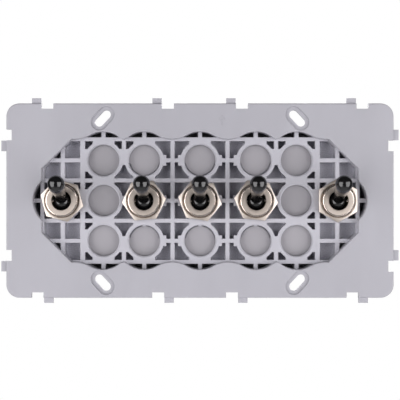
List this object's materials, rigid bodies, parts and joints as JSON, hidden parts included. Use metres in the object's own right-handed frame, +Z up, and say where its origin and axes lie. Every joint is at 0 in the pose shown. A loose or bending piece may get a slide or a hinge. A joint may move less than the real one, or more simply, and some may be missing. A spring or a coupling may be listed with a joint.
{
  "type": "toggle switch support",
  "caption": "Wide grey moulded wall support with a ribbed grid, closed blanks and black toggle levers in threaded nickel bushings with hex nuts, switch housings behind.",
  "frame": {"origin": "middle of the support, on the flange's back face, where it meets the wall", "axes": "X to the right, Z up, the front looks towards -Y; the wall is the plane Y = 0"},
  "size_m": [0.1452, 0.0477, 0.0748],
  "materials": {
    "support_plastic": "satin moulded grey",
    "nickel": "nickel plated, turned",
    "zinc_steel": "zinc plated",
    "screw_steel": "zinc plated",
    "lever_plastic": "polished black",
    "pin_steel": "ground",
    "plunger_plastic": "natural, smooth",
    "spring_steel": "drawn wire",
    "contact_brass": "bent strip",
    "housing_plastic": "satin moulded black",
    "plate_steel": "zinc plated"
  },
  "bodies": {
    "support_assembly": {"support": "support_plastic", "hex_nuts": "nickel", "lock_washers": "zinc_steel", "terminal_screws": "screw_steel", "bushing_1": "nickel", "bushing_2": "nickel", "bushing_3": "nickel", "bushing_4": "nickel", "bushing_5": "nickel", "pivot_pin_1": "pin_steel", "pivot_pin_2": "pin_steel", "pivot_pin_3": "pin_steel", "pivot_pin_4": "pin_steel", "pivot_pin_5": "pin_steel", "common_terminal_1": "contact_brass", "common_terminal_2": "contact_brass", "common_terminal_3": "contact_brass", "common_terminal_4": "contact_brass", "common_terminal_5": "contact_brass", "throw_terminals_1": "contact_brass", "throw_terminals_2": "contact_brass", "throw_terminals_3": "contact_brass", "throw_terminals_4": "contact_brass", "throw_terminals_5": "contact_brass", "housing_1": "housing_plastic", "housing_2": "housing_plastic", "housing_3": "housing_plastic", "housing_4": "housing_plastic", "housing_5": "housing_plastic", "cover_plate_1": "plate_steel", "cover_plate_2": "plate_steel", "cover_plate_3": "plate_steel", "cover_plate_4": "plate_steel", "cover_plate_5": "plate_steel"},
    "lever_body_1": {"lever_1": "lever_plastic", "plunger_1": "plunger_plastic", "spring_1": "spring_steel"},
    "rocker_body_1": {"rocker_contact_1": "contact_brass"},
    "lever_body_2": {"lever_2": "lever_plastic", "plunger_2": "plunger_plastic", "spring_2": "spring_steel"},
    "rocker_body_2": {"rocker_contact_2": "contact_brass"},
    "lever_body_3": {"lever_3": "lever_plastic", "plunger_3": "plunger_plastic", "spring_3": "spring_steel"},
    "rocker_body_3": {"rocker_contact_3": "contact_brass"},
    "lever_body_4": {"lever_4": "lever_plastic", "plunger_4": "plunger_plastic", "spring_4": "spring_steel"},
    "rocker_body_4": {"rocker_contact_4": "contact_brass"},
    "lever_body_5": {"lever_5": "lever_plastic", "plunger_5": "plunger_plastic", "spring_5": "spring_steel"},
    "rocker_body_5": {"rocker_contact_5": "contact_brass"}
  },
  "joints": [
    {"name": "lever_hinge_1", "type": "hinge", "parent": "support_assembly", "child": "lever_body_1", "pos_m": [-0.0505, 0, 0], "axis": [1, 0, 0], "range_deg": [0, 40]},
    {"name": "rocker_hinge_1", "type": "hinge", "parent": "support_assembly", "child": "rocker_body_1", "pos_m": [-0.0505, 0.0144, 0], "axis": [1, 0, 0], "range_deg": [-12, 0]},
    {"name": "lever_hinge_2", "type": "hinge", "parent": "support_assembly", "child": "lever_body_2", "pos_m": [-0.0205, 0, 0], "axis": [1, 0, 0], "range_deg": [0, 40]},
    {"name": "rocker_hinge_2", "type": "hinge", "parent": "support_assembly", "child": "rocker_body_2", "pos_m": [-0.0205, 0.0144, 0], "axis": [1, 0, 0], "range_deg": [-12, 0]},
    {"name": "lever_hinge_3", "type": "hinge", "parent": "support_assembly", "child": "lever_body_3", "pos_m": [0, 0, 0], "axis": [1, 0, 0], "range_deg": [0, 40]},
    {"name": "rocker_hinge_3", "type": "hinge", "parent": "support_assembly", "child": "rocker_body_3", "pos_m": [0, 0.0144, 0], "axis": [1, 0, 0], "range_deg": [-12, 0]},
    {"name": "lever_hinge_4", "type": "hinge", "parent": "support_assembly", "child": "lever_body_4", "pos_m": [0.0205, 0, 0], "axis": [1, 0, 0], "range_deg": [0, 40]},
    {"name": "rocker_hinge_4", "type": "hinge", "parent": "support_assembly", "child": "rocker_body_4", "pos_m": [0.0205, 0.0144, 0], "axis": [1, 0, 0], "range_deg": [-12, 0]},
    {"name": "lever_hinge_5", "type": "hinge", "parent": "support_assembly", "child": "lever_body_5", "pos_m": [0.0505, 0, 0], "axis": [1, 0, 0], "range_deg": [0, 40]},
    {"name": "rocker_hinge_5", "type": "hinge", "parent": "support_assembly", "child": "rocker_body_5", "pos_m": [0.0505, 0.0144, 0], "axis": [1, 0, 0], "range_deg": [-12, 0]}
  ],
  "couplings": [
    {"joint": "rocker_hinge_1", "follows": "lever_hinge_1", "ratio": -0.3},
    {"joint": "rocker_hinge_2", "follows": "lever_hinge_2", "ratio": -0.3},
    {"joint": "rocker_hinge_3", "follows": "lever_hinge_3", "ratio": -0.3},
    {"joint": "rocker_hinge_4", "follows": "lever_hinge_4", "ratio": -0.3},
    {"joint": "rocker_hinge_5", "follows": "lever_hinge_5", "ratio": -0.3}
  ]
}
